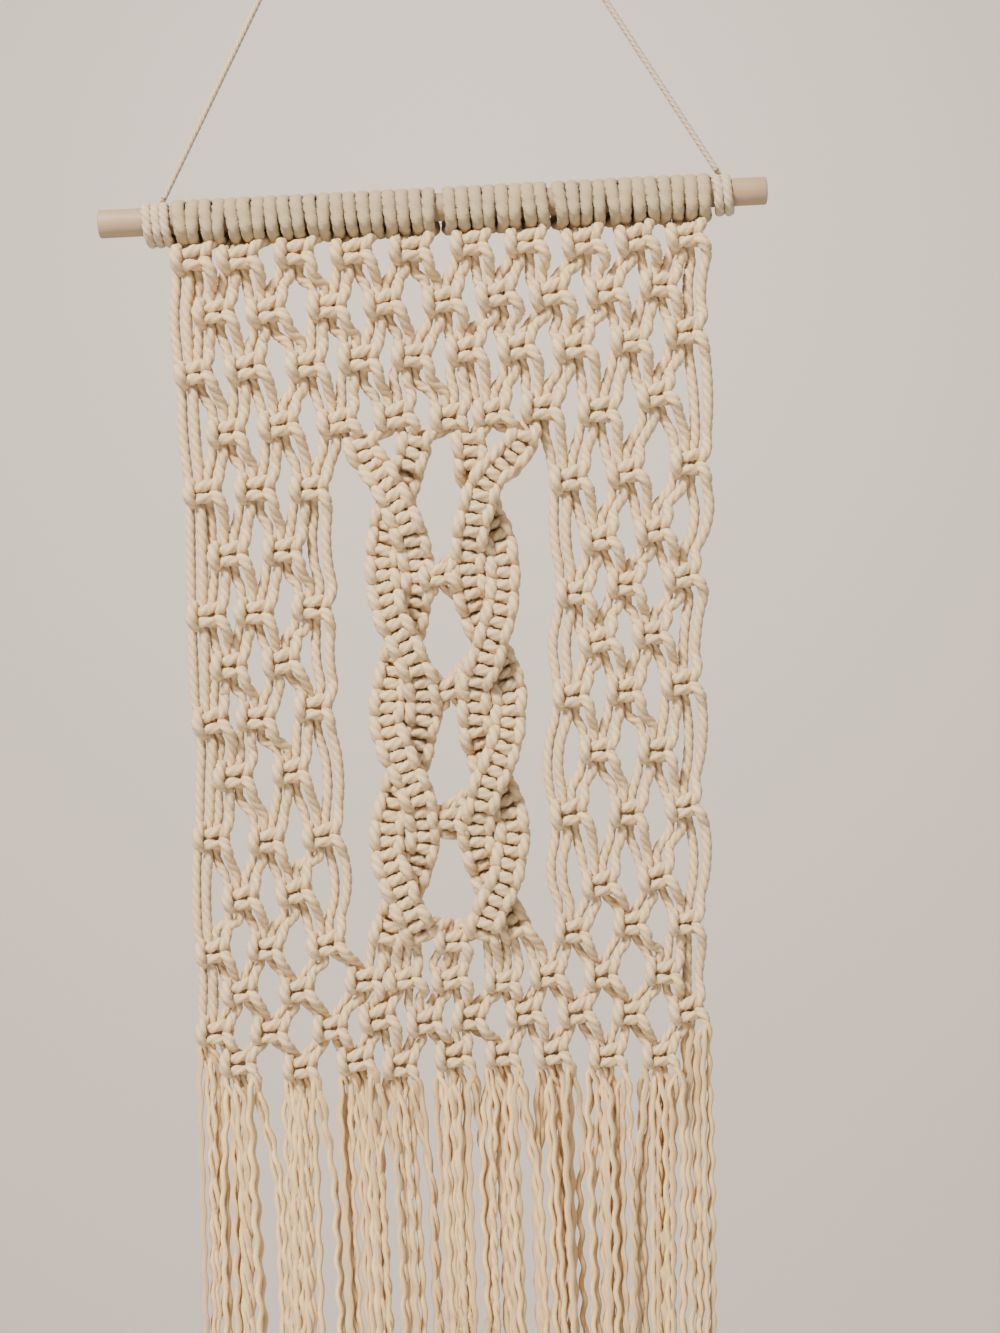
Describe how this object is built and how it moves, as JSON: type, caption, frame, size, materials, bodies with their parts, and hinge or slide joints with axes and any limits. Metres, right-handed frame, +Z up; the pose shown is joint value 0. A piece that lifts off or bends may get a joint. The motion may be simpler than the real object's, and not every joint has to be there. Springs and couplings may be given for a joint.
{
  "type": "macrame wall hanging on a dowel",
  "caption": "Knotted cotton macrame panel with crossing braids in the middle and a long combed fringe, on a round wooden dowel with a hanging cord.",
  "frame": {"origin": "the top of the hanging cord's rounded peak, where a hook or knob on the wall holds it", "axes": "+Z up, +X along the dowel to the viewer's right, the front of the hanging faces -Y"},
  "size_m": [0.305, 0.0202, 0.7944],
  "materials": {
    "wood": "pale, sanded, unvarnished",
    "cotton": "natural undyed twisted cotton, matt",
    "combed_cotton": "natural undyed cotton, combed into plies, matt",
    "cord": "thin natural twisted cotton cord, matt"
  },
  "bodies": {
    "root": {"dowel": "wood", "heading": "cotton", "panel": "cotton", "fringe": "combed_cotton", "winding_left": "cord", "winding_right": "cord", "hanging_cord": "cord"}
  },
  "joints": []
}
